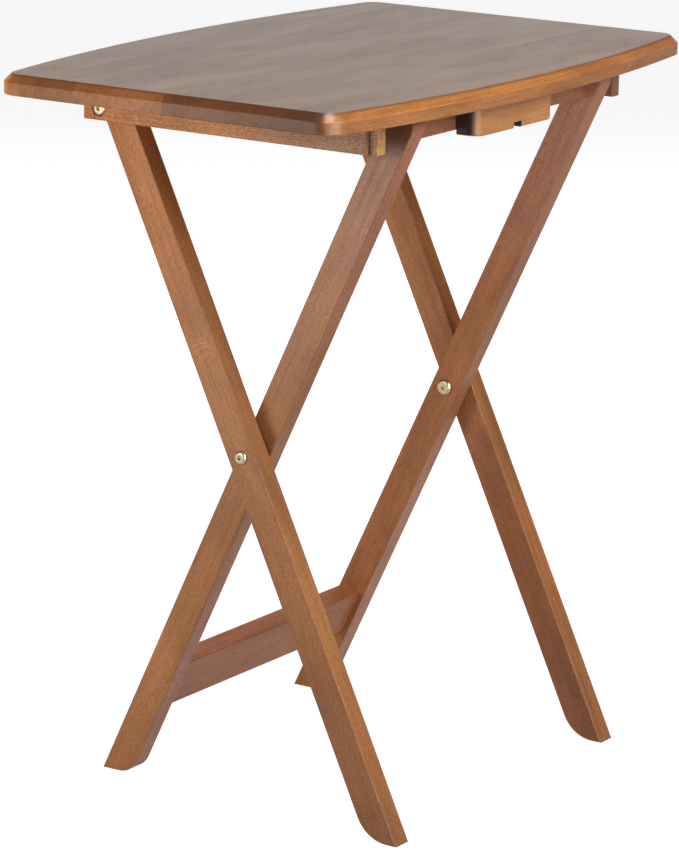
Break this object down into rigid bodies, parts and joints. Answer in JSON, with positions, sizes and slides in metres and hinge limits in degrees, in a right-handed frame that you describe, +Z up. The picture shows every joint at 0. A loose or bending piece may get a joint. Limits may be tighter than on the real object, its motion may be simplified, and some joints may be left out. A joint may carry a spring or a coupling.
{
  "type": "folding tray table",
  "caption": "Wooden folding tray table: a bow-sided top on two X-shaped leg frames; lifting the top closes the crossed legs.",
  "frame": {"origin": "on the floor, under the middle of the tabletop", "axes": "+Z up, +X along the long side of the top, -Y towards the side with the catch block, so the X-shaped frames lie in planes of constant X"},
  "size_m": [0.585, 0.4038, 0.66],
  "materials": {
    "top_wood": "satin",
    "cleat_wood": "satin",
    "leg_wood": "satin",
    "rail_wood": "satin",
    "dowel_wood": "matte",
    "bolt_metal": "satin",
    "screw_steel": "satin"
  },
  "bodies": {
    "outer_frame": {"left_outer_leg": "leg_wood", "right_outer_leg": "leg_wood", "left_cross_bolt": "bolt_metal", "left_cross_nut": "bolt_metal", "left_cross_washer": "bolt_metal", "left_top_pivot_bolt": "bolt_metal", "left_top_pivot_nut": "bolt_metal", "left_top_pivot_washer": "bolt_metal", "right_cross_bolt": "bolt_metal", "right_cross_nut": "bolt_metal", "right_cross_washer": "bolt_metal", "right_top_pivot_bolt": "bolt_metal", "right_top_pivot_nut": "bolt_metal", "right_top_pivot_washer": "bolt_metal"},
    "inner_frame": {"left_inner_leg": "leg_wood", "right_inner_leg": "leg_wood", "top_rail": "rail_wood", "lower_stretcher": "rail_wood", "top_rail_dowels": "dowel_wood", "lower_stretcher_dowels": "dowel_wood"},
    "top": {"tabletop": "top_wood", "left_cleat": "cleat_wood", "right_cleat": "cleat_wood", "catch_block": "cleat_wood", "left_cleat_screws": "screw_steel", "right_cleat_screws": "screw_steel", "catch_block_screws": "screw_steel"}
  },
  "joints": [
    {"name": "top_tilt", "type": "hinge", "parent": "outer_frame", "child": "top", "pos_m": [0, 0.131, 0.6223], "axis": [-1, 0, 0], "range_deg": [0, 115]},
    {"name": "leg_fold", "type": "hinge", "parent": "outer_frame", "child": "inner_frame", "pos_m": [0, -0.013, 0.326], "axis": [-1, 0, 0], "range_deg": [0, 50]}
  ],
  "couplings": [
    {"joint": "leg_fold", "follows": "top_tilt", "ratio": 0.4347}
  ]
}
